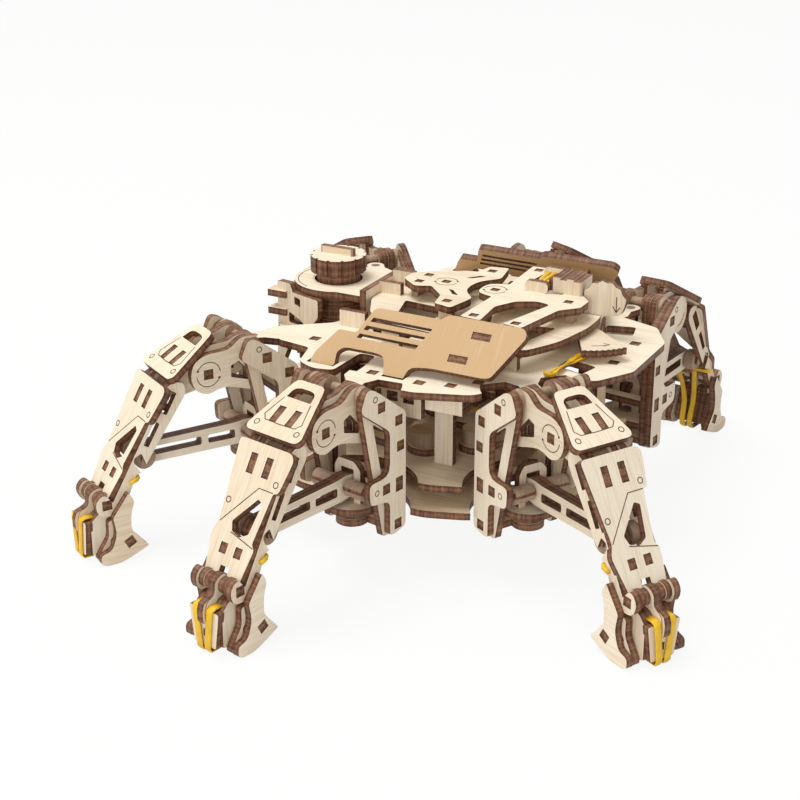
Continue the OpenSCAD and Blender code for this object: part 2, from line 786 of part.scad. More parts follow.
module block_band() {
    color(yellow) translate(shift)
        for (x = [34.8, 39.4])
            translate([x, block_tabs[0] + ply / 2, 98.6])
                cube([1.8, block_tabs[1] - block_tabs[0] - ply, 1.6]);
}

/* ---- levers ---- */

module stop_lever() {
    color(birch) translate(shift)
        difference() {
            translate([0, stop_y, 0])
                upright(0)
                    union() {
                        outline(concat(
                            [[57.6, 92, 2], [57.4, 99.6, 2]],
                            [for (k = [0 : 11])
                                let (a = 150 - k * 13, r = k % 2 == 0 ? 9.8 : 9)
                                    [66.4 + r * cos(a), 95.2 + r * sin(a), 0.2]],
                            [[73.6, 91, 2], [66, 90.4, 2], [64.6, 82, 2], [58, 81.2, 2],
                            [57.6, 86, 1]]), 0.4);
                    }
            translate([stop_pivot.x, stop_y + 5, stop_pivot.y])
                rotate([90, 0, 0]) cylinder(r = peg_r + running, h = 10, $fn = 48);
        }
}

walk_reach = 27;

module walk_lever() {
    color(birch) translate(shift)
        difference() {
            lying(walk_z)
                translate(walk_pivot)
                    outline(concat(
                        [[3, 2.4, 2], [-2, 3.4, 2], [-3.4, -2, 2]],
                        [for (k = [0 : 16])
                            let (a = -71 + k * 2.5, r = k % 2 == 0 ? walk_reach : walk_reach - 0.9)
                                [r * cos(a), r * sin(a), 0.2]]), 0.3);
            translate([walk_pivot.x, walk_pivot.y, walk_z - 1])
                cylinder(r = peg_r + running, h = ply + 2, $fn = 48);
        }
}

/* ---- cabin ---- */

ring_z = 88;
knob_at = [knob_x, 0];
shaft_r = 4;
hip_clear = 22.6;
nose_half = [[-76, -9, 2], [-74, -15, 1], [-64, -27, 1.5], [-44, -39, 1.5], [-30, -39, 2], [-30, -22, 1]];
cheek = [[0, 72, 1], [0, 91, 0.6], [8, 91.4, 0.6], [9.6, 87.8, 0.4], [25, 87.6, 1], [25, 80, 1],
    [21.6, 76, 1],
    [21.6, 72, 1], [20, 64, 1], [8, 66, 1], [2, 54, 1], [-1, 56, 1]];

module cheek_plate(s) {
    translate([-73.6, s * 15.4, 0])
        rotate([0, 0, s * 16])
            mirror([0, s > 0 ? 0 : 1, 0])
                rotate([90, 0, 0])
                    linear_extrude(ply)
                        difference() {
                            outline(cheek);
                            outline([[10.6, 82.8], [14.2, 82.2], [14.2, 85.6], [10.6, 86.2]], 0.3);
                            outline([[7, 78.6], [15, 76], [17, 73.8], [7, 73.8]], 0.8);
                        }
}

// Nose: floor board, two cheek plates, two tab boards and the boards behind the knob
module nose_frame() {
    color(birch) translate(shift) {
        difference() {
            lying(floor_z)
                difference() {
                    outline(mirrored(nose_half));
                    for (h = hips)
                        translate(h) circle(r = hip_clear, $fn = 64);
                }
            translate([knob_at.x, knob_at.y, floor_z - 1])
                cylinder(r = shaft_r + running, h = ply + 2, $fn = 64);
        }
        for (s = [-1, 1]) {
            cheek_plate(s);
            // tabs that stand out of the cheek
            for (z = [76.4, 84.4])
                board(-72.5, s * 15, 9, 6, z, z + ply);
            board(-51, s * 30, 14, ply, floor_z + ply, deck_z);
            board(-31, s * 24, 12, ply, deck_z + ply, upper_z);
        }
        for (z = [76.4, 84.4])
            lying(z) outline([[-73, -13], [-67, -15.4], [-67, 15.4], [-73, 13]], 0.8);
        // back of the cabin
        board(-30, 0, ply, 36, deck_z + ply, 94);
        board(-23.6, -4.5, 10, ply, upper_z + ply, 95);
        board(-23.6, 7.5, 10, ply, upper_z + ply, 96.6);
    }
}

knob_back = 20.4;

// Ring platform round the knob with its square back
module nose_ring() {
    color(birch) translate(shift)
        difference() {
            lying(ring_z)
                union() {
                    translate(knob_at) circle(r = 19, $fn = 96);
                    translate([knob_x, -17]) square([knob_back, 34]);
                }
            translate([knob_at.x, knob_at.y, ring_z - 1]) cylinder(r = 10.4, h = ply + 2, $fn = 96);
        }
}

tooth = [[-0.3, -2.3], [-0.11, 1.7], [0.11, 1.7], [0.3, -2.3]];

// Gear with straight-sided teeth: pitch radius, tooth count
function gear_points(r, n) = [
    for (k = [0 : n - 1])
        for (c = tooth)
            let (a = (k + c.x) * 360 / n)
                [(r + c.y) * cos(a), (r + c.y) * sin(a)]];

gear_z = 57;
drum_teeth = 17;
wheel_teeth = 35;
knob_thick = 7;
knob_neck_z = 84.8;

// Winding knob: notched disc, thumb bar, neck and the shaft down through the drum
module winding_knob() {
    color(birch) translate([shift.x + knob_at.x, shift.y + knob_at.y, 0]) {
        translate([0, 0, knob_z - knob_thick])
            difference() {
                cylinder(r = knob_d / 2, h = knob_thick, $fn = 96);
                for (k = [0 : 11])
                    rotate([0, 0, k * 30 + 8])
                        translate([knob_d / 2 - 1, -0.6, -1]) cube([3, 1.2, knob_thick + 2]);
            }
        translate([0, 0, knob_neck_z]) cylinder(r = 9.4, h = knob_z - knob_thick - knob_neck_z, $fn = 96);
        lying(knob_z) outline([[-8, -1.5], [8, -1.5], [8, 1.5], [-8, 1.5]], 1);
        translate([0, 0, 44]) cylinder(r = shaft_r, h = knob_neck_z - 43, $fn = 64);
    }
}

// Layered drum under the ring platform, its gear and the reel that the motor bands pull
module motor_drum() {
    color(charred) translate([shift.x + knob_at.x, shift.y + knob_at.y, 0])
        difference() {
            union() {
                for (k = [0 : 3])
                    translate([0, 0, 73 + 2.9 * k]) cylinder(r = k % 2 == 0 ? 13 : 12.4, h = 2.9, $fn = 96);
                translate([0, 0, gear_z]) linear_extrude(ply) polygon(gear_points(drum_teeth, drum_teeth));
                translate([0, 0, 46]) cylinder(r = 11, h = 8, $fn = 96);
                translate([0, 0, 54]) cylinder(r = 7, h = ply, $fn = 64);
            }
            translate([0, 0, 40]) cylinder(r = shaft_r, h = 60, $fn = 64);
        }
}

hub_r = 9;

module drive_gear() {
    color(birch) translate(shift)
        difference() {
            union() {
                lying(gear_z) polygon(gear_points(wheel_teeth, wheel_teeth));
                translate([0, 0, cam_z + ply + 0.3])
                    cylinder(r = hub_r, h = gear_z - cam_z - ply - 0.3, $fn = 64);
            }
            for (k = [0 : 5])
                rotate([0, 0, 60 * k])
                    translate([20, 0, gear_z - 1]) cylinder(r = 7, h = ply + 2, $fn = 48);
            translate([0, 0, cam_z]) cylinder(r = main_r, h = 40, $fn = 64);
        }
}

module main_shaft() {
    color(charred) translate(shift)
        translate([0, 0, 32]) cylinder(r = main_r, h = 60, $fn = 64);
}

disc_at = [[11, 40], [29, 29]];

// Stepped cam rollers on the cam plate
module cam_discs() {
    color(birch) translate(shift)
        for (s = [-1, 1], d = disc_at)
            translate([d.x, s * d.y, cam_z + ply]) {
                cylinder(r = 7.4, h = ply, $fn = 64);
                translate([0, 0, ply]) cylinder(r = 6, h = 2 * ply, $fn = 64);
            }
}

// Stretched rubber bands of the motor, between the two posts
module motor_bands() {
    color(yellow) translate(shift)
        for (s = [-1, 1], k = [0, 1])
            translate([-36.5, s * (12 + 3 * k) - 0.8, 48 + 2 * k]) cube([92.5, 1.6, 1]);
}

// Long flat bands over the rear of the middle deck
module rear_bands() {
    color(yellow) translate(shift) {
        for (k = [0, 1])
            lying(80.4 + 1.1 * k, 0.9)
                polygon([[62 + 1.6 * k, -38], [66 + 1.6 * k, -14], [68 + 1.6 * k, -14],
                    [64 + 1.6 * k, -38]]);
    }
}

for (i = [0 : 5]) {
    hip_frame(i);
    thigh(i);
    push_rod(i);
    shin(i);
    foot(i);
    foot_bands(i);
}
base_plate();
cam_plate();
deck_columns();
hip_pins();
cam_discs();
drive_gear();
main_shaft();
motor_drum();
motor_bands();
middle_deck();
upper_deck();
deck_struts();
side_panel_left();
side_panel_right();
roof_front();
roof_rear();
nose_frame();
nose_ring();
winding_knob();
band_block();
block_band();
stop_lever();
walk_lever();
rear_bands();
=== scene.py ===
import math

import bmesh
import bpy
import numpy as np
from mathutils import Matrix, Vector


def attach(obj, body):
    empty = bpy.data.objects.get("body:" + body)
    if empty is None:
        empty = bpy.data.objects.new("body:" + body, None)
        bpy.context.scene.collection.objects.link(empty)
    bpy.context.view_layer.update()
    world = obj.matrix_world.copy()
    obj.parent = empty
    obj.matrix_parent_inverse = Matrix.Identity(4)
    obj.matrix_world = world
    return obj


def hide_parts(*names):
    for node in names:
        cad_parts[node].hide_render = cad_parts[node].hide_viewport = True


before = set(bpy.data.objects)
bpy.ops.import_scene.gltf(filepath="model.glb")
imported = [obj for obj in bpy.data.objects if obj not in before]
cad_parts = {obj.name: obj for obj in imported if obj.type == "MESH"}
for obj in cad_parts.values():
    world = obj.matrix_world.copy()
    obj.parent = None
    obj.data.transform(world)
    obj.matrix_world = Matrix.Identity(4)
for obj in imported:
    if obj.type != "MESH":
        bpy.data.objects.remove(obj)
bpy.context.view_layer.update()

# ---- base ring and cam plate ---- Two lying boards of 3 mm birch ply that carry the hips
# and the rollers between them.


class Link:
    """A socket of a node tree, with arithmetic."""

    def __init__(self, nodes, socket):
        self.nodes, self.socket = nodes, socket

    def math(self, operation, *values):
        return self.nodes.node("ShaderNodeMath", {"operation": operation}, dict(enumerate(values)))

    def __add__(self, other):
        return self.math("ADD", self, other)

    __radd__ = __add__

    def __mul__(self, other):
        return self.math("MULTIPLY", self, other)

    __rmul__ = __mul__

    def __sub__(self, other):
        return self.math("SUBTRACT", self, other)

    def __rsub__(self, other):
        return self.math("SUBTRACT", other, self)

    def __gt__(self, other):
        return self.math("GREATER_THAN", self, other)

    def __lt__(self, other):
        return self.math("LESS_THAN", self, other)

    def __mod__(self, other):
        return self.math("FLOORED_MODULO", self, other)

    def clamp(self):
        return self.nodes.node("ShaderNodeClamp", {}, {"Value": self})


class Nodes:
    """A node tree, and the one way in which it gets its nodes."""

    def __init__(self, tree):
        self.tree = tree

    def node(self, kind, settings, inputs, output=0):
        made = self.tree.nodes.new(kind)
        for key, value in settings.items():
            setattr(made, key, value)
        for key, value in inputs.items():
            socket = made.inputs[key]
            if isinstance(value, Link):
                self.tree.links.new(value.socket, socket)
            else:
                socket.default_value = (*value, 1) if socket.type == "RGBA" else value
        return Link(self, made.outputs[output])

    def surface(self, shader, output):
        self.tree.links.new(shader.socket, self.tree.nodes[output].inputs["Surface"])


class Finish(Nodes):
    """A material under construction."""

    def __init__(self, name, **constants):
        self.material = bpy.data.materials.new(name)
        self.material.use_nodes = True
        super().__init__(self.material.node_tree)
        self.shader = self.tree.nodes["Principled BSDF"]
        for key, value in constants.items():
            self.shader.inputs[key.replace("_", " ")].default_value = value

    def told(self, name, output=2):
        return self.node("ShaderNodeAttribute", {"attribute_name": name}, {}, output)

    def noise(self, vector, stretch, detail=3.0):
        stretched = self.node("ShaderNodeVectorMath", {"operation": "MULTIPLY"}, {0: vector, 1: stretch})
        return self.node("ShaderNodeTexNoise", {}, {"Vector": stretched, "Scale": 1.0, "Detail": detail})

    def blend(self, factor, a, b):
        return self.node("ShaderNodeMix", {"data_type": "RGBA"}, {0: factor, 6: a, 7: b}, 2)

    def feed(self, socket, link):
        self.tree.links.new(link.socket, self.shader.inputs[socket])

    def bump(self, height, strength, distance):
        inputs = {"Height": height, "Strength": strength, "Distance": distance}
        self.feed("Normal", self.node("ShaderNodeBump", {}, inputs))


def laser_birch(name, pale, tan, char, ember):
    wood = Finish(name, Roughness=0.6, Specular_IOR_Level=0.3)
    grain, cut, depth, tone_and_painted_shade = wood.told("grain", 1), wood.told("cut"), wood.told("depth"), wood.told("tone_and_painted_shade")
    fibre = wood.noise(grain, (60, 1500, 60), 4)
    figure = wood.noise(grain, (14, 150, 30), 3)
    # The tone attribute holds each board's random tone plus a set deeper tan: painted shade for boards deep
    # inside the body, own darker wood for the side panels.
    face = wood.blend((1.0 * fibre + 0.8 * figure + 0.5 * tone_and_painted_shade - 0.85).clamp(), pale, tan)
    streak = wood.noise(grain, (900, 900, 70), 2)
    soot = wood.noise(grain, (120, 120, 300), 3)
    layer = depth % 1.0
    core = (layer > 0.36) * (layer < 0.64)
    seam = (layer < 0.07) + (layer > 0.93)
    glow = (1.7 * streak + 0.9 * soot + 0.28 * core - 0.3 * seam - 1.0).clamp()
    wood.feed("Base Color", wood.blend(cut, face, wood.blend(glow, char, ember)))
    wood.bump(fibre * (1 - cut) + (streak + 0.8 * core) * cut, 0.25, 0.0003)
    return wood.material


birch = laser_birch(
    "laser_birch", pale=(0.89, 0.80, 0.65), tan=(0.56, 0.375, 0.20),
    char=(0.078, 0.030, 0.017), ember=(0.33, 0.165, 0.09))


class Board:
    """A slab of ply: the way through it, the heights of its two faces, the way of its grain."""

    def __init__(self, through, low, high, along):
        self.through, self.along = np.array(through, float), np.array(along, float)
        self.low, self.high = low, high
        self.plies = max(1, round((high - low) / 3))


def lying(z, thick=3, along=(1, 0, 0)):
    return Board((0, 0, 1), z, z + thick, along)


def show_plies(mesh, seed, place, boards, finish, rest, tan_and_painted_shade):
    """Tells the finish, corner by corner, which flats of a mesh are faces of a board and which are cuts."""
    vertex = np.zeros(len(mesh.loops), np.int32)
    mesh.loops.foreach_get("vertex_index", vertex)
    co = np.zeros(len(mesh.vertices) * 3)
    mesh.vertices.foreach_get("co", co)
    normal = np.zeros(len(mesh.polygons) * 3)
    mesh.polygons.foreach_get("normal", normal)
    corners = np.zeros(len(mesh.polygons), np.int32)
    mesh.polygons.foreach_get("loop_total", corners)
    start = np.cumsum(corners) - corners
    back = np.array(place.inverted())
    at = (co.reshape(-1, 3)[vertex] * 1000) @ back[:3, :3].T + back[:3, 3]
    facing = np.repeat(normal.reshape(-1, 3) @ back[:3, :3].T, corners, 0)

    def every(mask):
        return np.repeat(np.minimum.reduceat(mask, start), corners)

    cut, depth, tone_and_painted_shade = np.full(len(vertex), rest), np.full(len(vertex), 0.5), np.full(len(vertex), 0.5)
    grain = at + (0, 0, 31)
    left = np.ones(len(vertex), bool)
    for edges in (False, True):
        for number, board in enumerate(boards):
            height, turn = at @ board.through, np.abs(facing @ board.through)
            low, high = height - board.low, board.high - height
            if edges:
                group = left & (turn < 0.35) & every((low > -0.06) & (high > -0.06))
                cut[group] = 1
                depth[group] = low[group] / (board.high - board.low) * board.plies * 0.998 + 0.001
            else:
                flat = left & (turn > 0.985) & (every(np.abs(low) < 0.06) | every(np.abs(high) < 0.06))
                sunk = every(np.abs(low - 0.4) < 0.03) | every(np.abs(high - 0.4) < 0.03)
                sunk &= left & (turn > 0.985)
                group = flat | sunk
                cut[flat], cut[sunk] = 0, 1
                # Random tone per board, plus the part's set deeper tan: painted shade on boards deep
                # inside, own colour on the side panels.
                tone_and_painted_shade[flat] = (seed * 0.37 + number * 0.618) % 1 * 0.7 + tan_and_painted_shade
                for first in start[sunk[start]]:
                    floor = slice(first, first + 3)
                    a, b, c = at[floor]
                    legs = sorted((b - a, c - b, a - c), key=np.linalg.norm)[:2]
                    way = max(legs, key=lambda leg: abs(leg[2]) - 2 * (np.linalg.norm(leg) > 4.5))
                    run = at[floor] @ way
                    depth[floor] = (run - run.min()) / max(np.ptp(run), 0.01)
            across = np.cross(board.through, board.along)
            ways = at[group] @ board.along, at[group] @ across, height[group] + 7 * number
            grain[group] = np.stack(ways, 1)
            left &= ~group
    for key, values in (("cut", cut), ("depth", depth), ("tone_and_painted_shade", tone_and_painted_shade), ("grain", grain * 0.001)):
        kind, field = ("FLOAT_VECTOR", "vector") if values.ndim > 1 else ("FLOAT", "value")
        mesh.attributes.new(key, kind, "CORNER").data.foreach_set(field, values.astype(np.float32).ravel())
    mesh.materials.clear()
    mesh.materials.append(finish)


# The last argument deepens a part's faces towards tan: painted shade for boards deep inside the body, own
# darker wood for the side panels.
def lay(name, place, boards, finish=birch, rest=0.7, tan_and_painted_shade=0.0):
    show_plies(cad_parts[name].data, len(name), place, boards, finish, rest, tan_and_painted_shade)


middle = Matrix.Translation((-3.15, 2.56, 0))
# The base and cam plates lie deep inside the body; their deeper tan is painted shade.
lay("base_plate", middle, [lying(26)], tan_and_painted_shade=0.5)
lay("cam_plate", middle, [lying(36)], tan_and_painted_shade=0.6)

# ---- columns, posts and hip pins ----
# Upright boards glued on edge between the decks, two posts that hold the motor's bands, and
# round hip axles turned from scorched dowel, pressed into the plates.


def standing(y, thick=3, along=(0, 0, 1)):
    return Board((0, 1, 0), y - thick / 2, y + thick / 2, along)


def crossing(x, thick=3, along=(0, 0, 1)):
    return Board((1, 0, 0), x - thick / 2, x + thick / 2, along)


columns = [standing(s * y) for s in (-1, 1) for y in (36, 48)]
# The columns stand inside between the decks; their deeper tan is painted shade.
lay("deck_columns", middle, columns + [crossing(60), crossing(-38), crossing(57.5)], tan_and_painted_shade=0.6)
lay("hip_pins", middle, [], rest=0.85)

# ---- drive ----
# The wheel, its shaft, the rollers that swing the hips, and the layered winding drum, a stack of
# round plies with its own small wheel. Yellow rubber bands between the posts are the motor.


def band_rubber():
    rubber = Finish("band_rubber", Roughness=0.42, Specular_IOR_Level=0.45, Subsurface_Weight=0.12)
    rubber.shader.inputs["Subsurface Radius"].default_value = (0.0012, 0.0008, 0.0002)
    place = rubber.node("ShaderNodeTexCoord", {}, {}, "Object")
    pulled = rubber.noise(place, (260, 260, 260), 3)
    dust = rubber.noise(place, (1900, 1900, 1900), 2)
    thin = (1.6 * pulled - 0.3).clamp()
    rubber.feed("Base Color", rubber.blend(thin, (0.90, 0.58, 0.014), (0.68, 0.38, 0.008)))
    rubber.bump(0.6 * pulled + 0.4 * dust, 0.2, 0.0003)
    return rubber.material


yellow_rubber = band_rubber()


rim = (
    (0.5, 0.2), (0.38, 0.5), (0, 0.56), (-0.38, 0.5), (-0.5, 0.2),
    (-0.5, -0.2), (-0.38, -0.5), (0.38, -0.5), (0.5, -0.2))


def strand(bm, place, points, widths, thick, side):
    """A flat band with round edges along the points; side is the way its width lies."""
    points = [Vector(p) for p in points]
    rings = []
    for k, p in enumerate(points):
        way = (points[min(k + 1, len(points) - 1)] - points[max(k - 1, 0)]).normalized()
        lie = Vector(side(k) if callable(side) else side)
        lie = (lie - way * lie.dot(way)).normalized()
        up = way.cross(lie)
        wide = widths[k] if isinstance(widths, list) else widths
        rings.append([bm.verts.new(place @ (p + lie * wide * a + up * thick * b) * 0.001) for a, b in rim])
    for a, b in zip(rings, rings[1:]):
        for i in range(9):
            j = (i + 1) % 9
            bm.faces.new((a[i], a[j], b[j], b[i]))
    bm.faces.new(rings[0])
    bm.faces.new(rings[-1])


def piece_of(bm, name, body, finish, smooth=True):
    bmesh.ops.recalc_face_normals(bm, faces=bm.faces)
    mesh = bpy.data.meshes.new(name)
    bm.to_mesh(mesh)
    bm.free()
    mesh.materials.append(finish)
    if smooth:
        mesh.shade_smooth()
    made = bpy.data.objects.new(name, mesh)
    bpy.context.collection.objects.link(made)
    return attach(made, body)


# The drive gear and cam discs sit inside under the decks; their deeper tan is painted shade.
lay("drive_gear", middle, [lying(57), lying(39.3, 17.7)], tan_and_painted_shade=0.7)
lay("main_shaft", middle, [], rest=0.9)
lay("cam_discs", middle, [lying(39), lying(42), lying(45)], tan_and_painted_shade=1.1)
drum_plies = [lying(73 + 2.9 * k, 2.9) for k in range(4)]
lay("motor_drum", middle, drum_plies + [lying(57), lying(46, 8), lying(54)], tan_and_painted_shade=1.3)
bm = bmesh.new()
for s in (-1, 1):
    for k in (0, 1):
        run = []
        for t in range(13):
            sway, sag = 0.25 * math.sin(t * 1.9 + k), 0.02 * t * (12 - t)
            run.append((-36.4 + 92.3 * t / 12, s * (12 + 3 * k) + sway, 48.5 + 2 * k - sag))
        strand(bm, middle, run, [1.5 + 0.12 * math.cos(t * 1.3) for t in range(13)], 0.95, (0, 1, 0.1))
motor = piece_of(bm, "stretched_motor_bands", "chassis", yellow_rubber)
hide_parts("motor_bands")

# ---- decks and the struts between them ----
# The two decks are lying boards with cut windows. Tenons of the upright boards come up through
# them and end just below the face, so each square hole shows the plies of the board under it.

lay("middle_deck", middle, [lying(77)])
lay("upper_deck", middle, [lying(87)])
struts = [standing(s * y) for s in (-1, 1) for y in (37, 22, 36, 60)]
struts += [standing(s * 58, 8) for s in (-1, 1)] + [standing(0), standing(-3), standing(15.3)]
lay("deck_struts", middle, struts, tan_and_painted_shade=0.3)

# ---- side panels ----
# A long board leans over each side on two brackets. Three slots are burnt through it, and the
# brackets' ends show in two shallow slots. Its grain runs down the slope.


def panel_place(side):
    lean = math.radians(-47)
    down = Matrix.Rotation(lean, 4, "X")
    if side < 0:
        down = Matrix.Scale(-1, 4, (0, 1, 0)) @ down
    return Matrix.Translation((-3.15, 2.56 + side * 47, 101)) @ down


panel_boards = [Board((0, 0, 1), -3, 0, (0, 1, 0)), standing(5.9, 3.2), standing(16.7, 3.2)]
for name, side in (("side_panel_left", -1), ("side_panel_right", 1)):
    lay(name, panel_place(side), panel_boards, tan_and_painted_shade=1.7)

# ---- roof plates ----
# Two flat boards on top, pegged through square holes. The laser has drawn hub lines, rings and
# arrows on the boards: scorched lines as wide as the beam, a hair above the bare wood.


def scorched_line():
    scorch = Finish("scorched_line", Roughness=0.8, Specular_IOR_Level=0.2)
    place = scorch.node("ShaderNodeTexCoord", {}, {}, "Object")
    burn = scorch.noise(place, (700, 700, 700), 2)
    faint = (2 * burn - 0.5).clamp()
    scorch.feed("Base Color", scorch.blend(faint, (0.055, 0.022, 0.012), (0.16, 0.075, 0.04)))
    return scorch.material


scorch_finish = scorched_line()


def arc(centre, r, start, end, steps=20):
    turns = [math.radians(start + (end - start) * k / steps) for k in range(steps + 1)]
    return [(centre[0] + r * math.cos(t), centre[1] + r * math.sin(t)) for t in turns]


def ring(centre, r=1.1):
    return arc(centre, r, 0, 342, 18), True, 0.36


def draw(bm, place, lines):
    """Lines on a board's face, whose plane is z = 0 in place: points, closed or not, width."""
    for points, closed, width in lines:
        points = [Vector(p) for p in points]
        rails = []
        for k, p in enumerate(points):
            before = points[k - 1] if k or closed else p
            after = points[(k + 1) % len(points)] if k + 1 < len(points) or closed else p
            way = ((p - before).normalized() + (after - p).normalized()).normalized()
            reach = (p - before) if before != p else (after - p)
            lean = max(0.45, abs(way.dot(reach.normalized())))
            offset = Vector((-way.y, way.x)) * width / 2 / lean
            rails.append([bm.verts.new(place @ Vector((*(p + s * offset), h)) * 0.001)
                          for s, h in ((1, 0.05), (-1, 0.05), (-1, -0.1), (1, -0.1))])
        count = len(rails)
        for k in range(count if closed else count - 1):
            a, b = rails[k], rails[(k + 1) % count]
            for i in range(4):
                j = (i + 1) % 4
                bm.faces.new((a[i], a[j], b[j], b[i]))
        if not closed:
            bm.faces.new(rails[0])
            bm.faces.new(rails[-1])


def scorch(name, body, drawings):
    bm = bmesh.new()
    for place, lines in drawings:
        draw(bm, place, lines)
    return piece_of(bm, name, body, scorch_finish, smooth=False)


lay("roof_front", middle, [lying(94.5)])
lay("roof_rear", middle, [lying(94.5)])
hub_lines = []
for hub in ((0, 0), (22.4, 0)):
    for start in (20, 200):
        hub_lines.append((arc(hub, 4.7, start, start + 155), False, 0.36))
        hub_lines.append((arc(hub, 4.7, start, start + 9, 3), False, 0.9))
scorch("roof_lines", "chassis", [(middle @ Matrix.Translation((0, 0, 97.5)), hub_lines)])

# ---- cabin ----
# The nose has a floor board, two cheek boards set a little askew and tab boards that stick out
# of them. The ring platform above carries the winding knob, a stack of round plies.

cheeks = []
for s in (-1, 1):
    turn = math.radians(16 * s)
    out = np.array((-math.sin(turn), math.cos(turn), 0))
    edge = out @ (-73.6, s * 15.4, 0)
    low, high = sorted((edge, edge - s * 3)) if s > 0 else sorted((edge, edge + 3))
    cheeks.append(Board(out, low, high, (0, 0, 1)))
nose_boards = [lying(69), lying(76.4), lying(84.4)] + cheeks
nose_boards += [standing(-30), standing(30), crossing(-30)]
nose_boards += [standing(y) for y in (24, -24, -4.5, 7.5)]
lay("nose_frame", middle, nose_boards, tan_and_painted_shade=0.25)
lay("nose_ring", middle, [lying(88)])
knob = middle @ Matrix.Translation((-52, 0, 0))
lay("winding_knob", knob, [lying(95, 7), lying(84.8, 10.2), standing(0, 3, (1, 0, 0))])
ring_lines = [(arc((0, 0), 17.4, 100, 250), False, 0.36)]
scorch("ring_lines", "chassis", [(knob @ Matrix.Translation((0, 0, 91)), ring_lines)])

# ---- rear block ----
# Five plies on edge between two round-nosed tabs, with a yellow band stretched round the tabs.

block_plies = [crossing(46.1 + 3 * k) for k in range(4)] + [crossing(43.3, 2.6)]
lay("band_block", middle, block_plies + [standing(6.5), standing(26.5)])
bm = bmesh.new()
for k, x in enumerate((35.6, 37.9, 40.3)):
    run = []
    for t in range(9):
        run.append((x + 0.4 * math.sin(t * 0.8 + k), 8 + 17 * t / 8, 99.4 - 0.03 * t * (8 - t) + 0.2 * k))
    strand(bm, middle, run, 1.7, 1.3, (1, 0, 0.3 * k - 0.2))
tied = piece_of(bm, "block_band_strands", "chassis", yellow_rubber)
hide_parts("block_band")

# ---- rear band ----
# A yellow band, twisted once, runs from a peg on the deck's edge to under the lying lever. It
# lies flat there, and the lever swings over it.

bm = bmesh.new()
band_runs = (((62.4, -38.4, 81.2), (69, -13.5, 81.2)), ((65.4, -38, 82), (66.6, -13.5, 82)))
for start, end in band_runs:
    run = [tuple(a + (b - a) * t / 10 for a, b in zip(start, end)) for t in range(11)]
    strand(bm, middle, run, 2.2, 0.7, lambda k: (1, 0.2, 1.3 * math.sin(math.pi * min(k, 6) / 6)))
bend = []
for t in range(7):
    turn = t * math.pi / 6
    bend.append((63.9 + 2.2 * math.cos(turn), -38.3 - 1.8 * math.sin(turn), 81.6))
strand(bm, middle, bend, 1.7, 0.8, (0, 0, 1))
twisted = piece_of(bm, "twisted_rear_band", "chassis", yellow_rubber)
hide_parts("rear_bands")

# ---- levers ----
# Two fans of ply with knurled rims, one standing and one lying, each on a wooden peg. A plain
# arrow shows which way each one is pushed.

lay("stop_lever", middle, [standing(12)])
lay("walk_lever", middle, [lying(83)])
walk = middle @ Matrix.Translation((61, 5, 86))
stop = middle @ Matrix(((1, 0, 0, 0), (0, 0, -1, 10.5), (0, 1, 0, 0), (0, 0, 0, 1)))
down_arrow = [
    ([(71.6, 99), (71.6, 92.4)], False, 0.4),
    ([(70, 94.8), (71.6, 92.4), (73.2, 94.8)], False, 0.4)]
scorch("stop_arrow", "stop_lever", [(stop, down_arrow)])
sweep = arc((0, 0), 21.5, -62, -42, 8)
barb = [(14.3, -16.8), (16, -14.4), (13.2, -14)]
scorch("walk_arrow", "walk_lever", [(walk, [(sweep, False, 0.4), (barb, False, 0.4)])])

# ---- hip frames ----
# Each hip is a box of two doubled side boards, with lying boards that turn on the hip's axle,
# cross boards, and a staple that guides the push rod. Square tenon ends show in its sides.

sides = ("left_front", "left_middle", "left_rear", "right_rear", "right_middle", "right_front")
hip_at = ((-62.7, -52.5), (0, -81.6), (62.7, -52.5), (62.7, 52.5), (0, 81.6), (-62.7, 52.5))
facing_of = (240, 258, 331, 83, 64, 140)
legs = {}
for name, (x, y), yaw in zip(sides, hip_at, facing_of):
    turned = Matrix.Rotation(math.radians(yaw), 4, "Z") @ Matrix.Translation((-6.4, 0, 0))
    legs[name] = middle @ Matrix.Translation((x, y, 0)) @ turned


def outside(side, v):
    """The plane of a leg's side board: x outward along the leg, y up, from outside."""
    return Matrix(((1, 0, 0, 0), (0, 0, side, side * v), (0, 1, 0, 0), (0, 0, 0, 1)))


hip_boards = [standing(s * v) for s in (-1, 1) for v in (16.8, 13.8)]
hip_boards += [lying(z, 3, (0, 1, 0)) for z in (22.7, 29.3, 66.8, 39.9, 55.9)] + [crossing(7.4)]
for name, leg in legs.items():
    lay("hip_frame_" + name, leg, hip_boards)
    rings = [ring((13.1, 80.8)), ring((12.4, 41.9))]
    scorch("hip_rings_" + name, "hip_" + name, [(leg @ outside(s, 18.3), rings) for s in (-1, 1)])

# ---- thighs ----
# Two pairs of side boards with a five-sided window swing on the hip's top axle. The kneecap is a
# board on the slope in front, drawn with a line round its window and slots.


def sloping(u, z, slope):
    s, c = math.sin(math.radians(slope)), math.cos(math.radians(slope))
    return Board((s, 0, c), u * s + z * c - 3, u * s + z * c, (c, 0, -s))


def slope_face(u, z, slope):
    return Matrix.Translation((u, 0, z)) @ Matrix.Rotation(math.radians(slope), 4, "Y")


